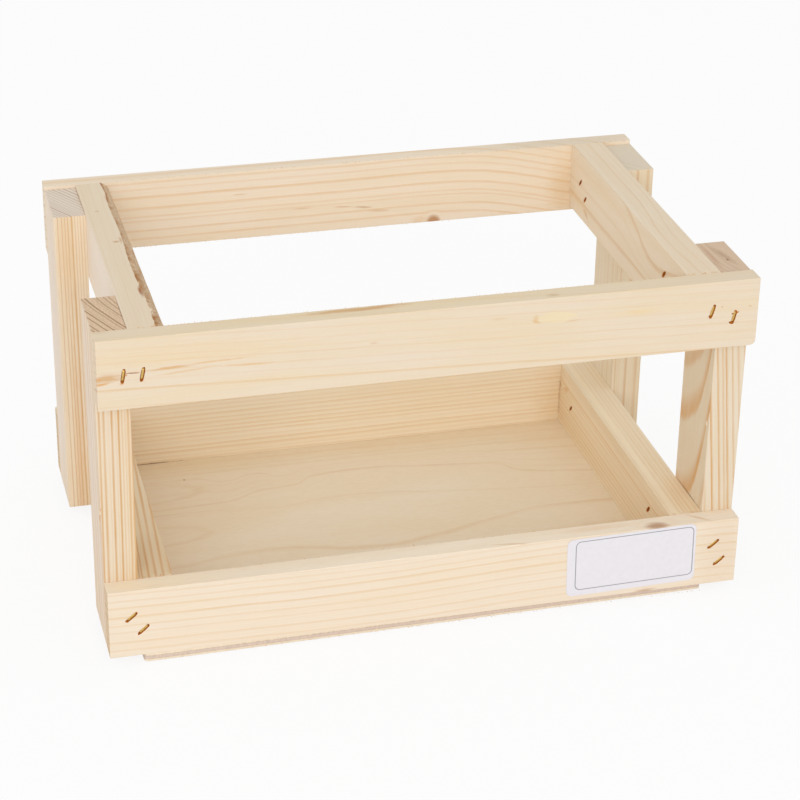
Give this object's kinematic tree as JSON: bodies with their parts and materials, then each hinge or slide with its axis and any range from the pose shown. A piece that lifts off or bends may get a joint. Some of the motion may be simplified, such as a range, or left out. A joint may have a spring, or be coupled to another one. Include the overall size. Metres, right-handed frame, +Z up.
{
  "type": "slatted wooden crate",
  "caption": "Open-topped crate of rough-sawn softwood slats stapled to corner posts, with a plywood floor and a blank paper label, for carrying bottles.",
  "frame": {"origin": "middle of the crate, on the underside of the plywood floor", "axes": "+X along the crate to its right end, +Y from the labelled front to the rear, +Z up"},
  "size_m": [0.3, 0.1861, 0.1625],
  "materials": {
    "sawn_softwood": "rough-sawn, unfinished pale spruce",
    "plywood": "sanded birch-faced plywood, unfinished",
    "brassed_staple_wire": "satin brass-coloured steel wire",
    "label_paper": "satin white label paper"
  },
  "bodies": {
    "root": {"floor_front_staple_1": "brassed_staple_wire", "floor_front_staple_2": "brassed_staple_wire", "floor_front_staple_3": "brassed_staple_wire", "floor_front_staple_4": "brassed_staple_wire", "floor_front_staple_5": "brassed_staple_wire", "floor_left_staple_1": "brassed_staple_wire", "floor_left_staple_2": "brassed_staple_wire", "floor_panel": "plywood", "floor_rear_staple_1": "brassed_staple_wire", "floor_rear_staple_2": "brassed_staple_wire", "floor_rear_staple_3": "brassed_staple_wire", "floor_rear_staple_4": "brassed_staple_wire", "floor_rear_staple_5": "brassed_staple_wire", "floor_right_staple_1": "brassed_staple_wire", "floor_right_staple_2": "brassed_staple_wire", "label": "label_paper", "lower_front_rail": "sawn_softwood", "lower_front_rail_left_staple_1": "brassed_staple_wire", "lower_front_rail_left_staple_2": "brassed_staple_wire", "lower_front_rail_right_staple_1": "brassed_staple_wire", "lower_front_rail_right_staple_2": "brassed_staple_wire", "lower_left_side_rail": "sawn_softwood", "lower_left_side_rail_front_staple_1": "brassed_staple_wire", "lower_left_side_rail_front_staple_2": "brassed_staple_wire", "lower_left_side_rail_rear_staple_1": "brassed_staple_wire", "lower_left_side_rail_rear_staple_2": "brassed_staple_wire", "lower_rear_rail": "sawn_softwood", "lower_rear_rail_left_staple_1": "brassed_staple_wire", "lower_rear_rail_left_staple_2": "brassed_staple_wire", "lower_rear_rail_right_staple_1": "brassed_staple_wire", "lower_rear_rail_right_staple_2": "brassed_staple_wire", "lower_right_side_rail": "sawn_softwood", "lower_right_side_rail_front_staple_1": "brassed_staple_wire", "lower_right_side_rail_front_staple_2": "brassed_staple_wire", "lower_right_side_rail_rear_staple_1": "brassed_staple_wire", "lower_right_side_rail_rear_staple_2": "brassed_staple_wire", "post_front_left": "sawn_softwood", "post_front_right": "sawn_softwood", "post_rear_left": "sawn_softwood", "post_rear_right": "sawn_softwood", "upper_front_rail": "sawn_softwood", "upper_front_rail_left_staple_1": "brassed_staple_wire", "upper_front_rail_left_staple_2": "brassed_staple_wire", "upper_front_rail_right_staple_1": "brassed_staple_wire", "upper_front_rail_right_staple_2": "brassed_staple_wire", "upper_left_side_rail": "sawn_softwood", "upper_left_side_rail_front_staple_1": "brassed_staple_wire", "upper_left_side_rail_front_staple_2": "brassed_staple_wire", "upper_left_side_rail_rear_staple_1": "brassed_staple_wire", "upper_left_side_rail_rear_staple_2": "brassed_staple_wire", "upper_rear_rail": "sawn_softwood", "upper_rear_rail_left_staple_1": "brassed_staple_wire", "upper_rear_rail_left_staple_2": "brassed_staple_wire", "upper_rear_rail_right_staple_1": "brassed_staple_wire", "upper_rear_rail_right_staple_2": "brassed_staple_wire", "upper_right_side_rail": "sawn_softwood", "upper_right_side_rail_front_staple_1": "brassed_staple_wire", "upper_right_side_rail_front_staple_2": "brassed_staple_wire", "upper_right_side_rail_rear_staple_1": "brassed_staple_wire", "upper_right_side_rail_rear_staple_2": "brassed_staple_wire"}
  },
  "joints": []
}
